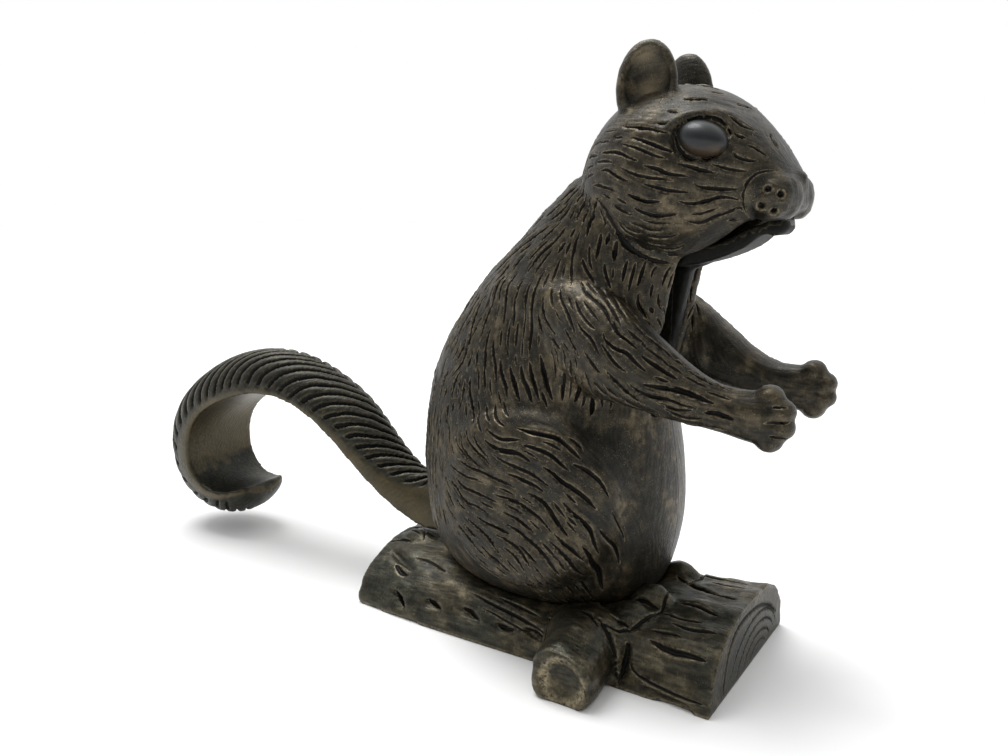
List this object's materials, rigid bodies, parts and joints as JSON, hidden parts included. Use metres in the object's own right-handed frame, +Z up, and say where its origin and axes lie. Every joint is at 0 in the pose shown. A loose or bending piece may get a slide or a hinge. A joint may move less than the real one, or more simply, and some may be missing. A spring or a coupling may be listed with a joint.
{
  "type": "lever nutcracker press",
  "caption": "Cast squirrel on a log that cracks nuts: lifting the curled tail lever drops the lower jaw, and pressing it closes the bite.",
  "frame": {"origin": "centre of the log's underside, on the bottom of its cross rib", "axes": "+X the way the squirrel faces, +Y its left side, +Z up"},
  "size_m": [0.2874, 0.0915, 0.1906],
  "materials": {
    "body_bronze": "dark bronze patina, satin",
    "tail_bronze": "dark bronze patina, rubbed brown",
    "log_bronze": "dark bronze patina, worn at the edges",
    "steel": "dull oiled steel"
  },
  "bodies": {
    "squirrel_on_log": {"log_base": "log_bronze", "right_body_half": "body_bronze", "left_body_half": "body_bronze", "pivot_pin": "steel", "clamp_screws": "steel", "locating_dowels": "steel", "base_screws": "steel", "base_washers": "steel"},
    "lever": {"tail_lever": "tail_bronze"}
  },
  "joints": [
    {"name": "tail_lever_hinge", "type": "hinge", "parent": "squirrel_on_log", "child": "lever", "pos_m": [0.002, 0, 0.104], "axis": [0, 1, 0], "range_deg": [0, 22]}
  ]
}
